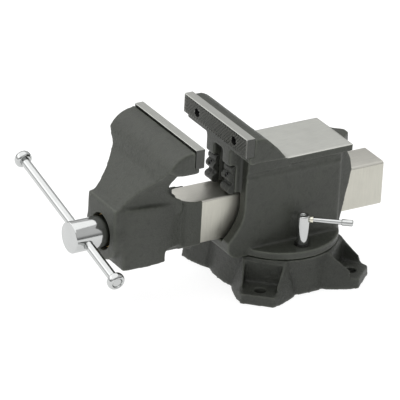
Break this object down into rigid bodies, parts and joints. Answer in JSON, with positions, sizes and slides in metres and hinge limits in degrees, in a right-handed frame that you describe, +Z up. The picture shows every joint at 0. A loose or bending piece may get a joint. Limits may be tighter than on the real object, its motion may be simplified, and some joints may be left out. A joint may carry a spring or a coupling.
{
  "type": "bench vise",
  "caption": "Swivel-base bench vise with serrated jaw plates, pipe jaws, an anvil with a rear horn, a machined slide and a lead screw turned by a sliding bar.",
  "frame": {"origin": "on the swivel axis, at the centre of the bench bolt pattern, in the bench plane", "axes": "+Z up; -Y towards the user, where the screw's handle is; +X to the user's right"},
  "size_m": [0.2568, 0.439, 0.226],
  "materials": {
    "cast_paint": "satin dark grey-green paint over sand-cast iron",
    "ground_steel": "ground steel",
    "chrome": "polished chrome plate",
    "bare_steel": "turned steel",
    "black_steel": "black oxide",
    "bronze": "turned bronze",
    "zinc": "pale zinc plate"
  },
  "bodies": {
    "base": {"swivel_base": "cast_paint"},
    "static_jaw": {"static_jaw_body": "cast_paint", "fixed_jaw_plate": "ground_steel", "fixed_plate_screws": "black_steel", "fixed_pipe_jaws": "cast_paint", "fixed_pipe_jaw_pins": "bare_steel", "spindle_nut": "bare_steel", "spindle_nut_screw": "black_steel", "pivot_bolt": "bare_steel", "pivot_washer": "bare_steel", "pivot_nut": "bare_steel", "t_bolt_right": "bare_steel", "t_bolt_left": "bare_steel", "lock_washer_right": "chrome", "lock_washer_left": "chrome"},
    "moving_jaw": {"moving_jaw_body": "cast_paint", "moving_jaw_plate": "ground_steel", "moving_plate_screws": "black_steel", "moving_pipe_jaws": "cast_paint", "moving_pipe_jaw_pins": "bare_steel", "thrust_washer": "bronze", "screw_spring": "bare_steel"},
    "screw": {"lead_screw": "chrome", "retaining_collar": "bare_steel", "collar_pin": "bare_steel"},
    "handle": {"handle_bar": "chrome", "handle_knob_left": "chrome", "handle_knob_right": "chrome"},
    "lock_right": {"lock_nut_right": "chrome", "lock_lever_right": "chrome", "lever_ferrule_right": "zinc", "lever_cap_right": "chrome"},
    "lock_left": {"lock_nut_left": "chrome", "lock_lever_left": "chrome", "lever_ferrule_left": "zinc", "lever_cap_left": "chrome"}
  },
  "joints": [
    {"name": "swivel", "type": "hinge", "parent": "base", "child": "static_jaw", "pos_m": [0, 0, 0.046], "axis": [0, 0, 1], "continuous": true},
    {"name": "jaw_slide", "type": "slide", "parent": "static_jaw", "child": "moving_jaw", "axis": [0, 1, 0], "range_m": [-0.0921, 0.0576]},
    {"name": "screw_turn", "type": "hinge", "parent": "moving_jaw", "child": "screw", "pos_m": [0, -0.2, 0.102], "axis": [0, 1, 0], "range_deg": [-5520, 3450]},
    {"name": "handle_slide", "type": "slide", "parent": "screw", "child": "handle", "axis": [0.9699, 0, -0.2436], "range_m": [-0.0637, 0.1275]},
    {"name": "lock_turn_right", "type": "hinge", "parent": "static_jaw", "child": "lock_right", "pos_m": [0.058, 0.0008, 0.08], "axis": [0, 0, 1], "range_deg": [-145, 40]},
    {"name": "lock_turn_left", "type": "hinge", "parent": "static_jaw", "child": "lock_left", "pos_m": [-0.058, 0.0008, 0.08], "axis": [0, 0, 1], "range_deg": [-40, 145]}
  ],
  "couplings": [
    {"joint": "jaw_slide", "follows": "screw_turn", "m_per_rad": 0.00095493}
  ]
}
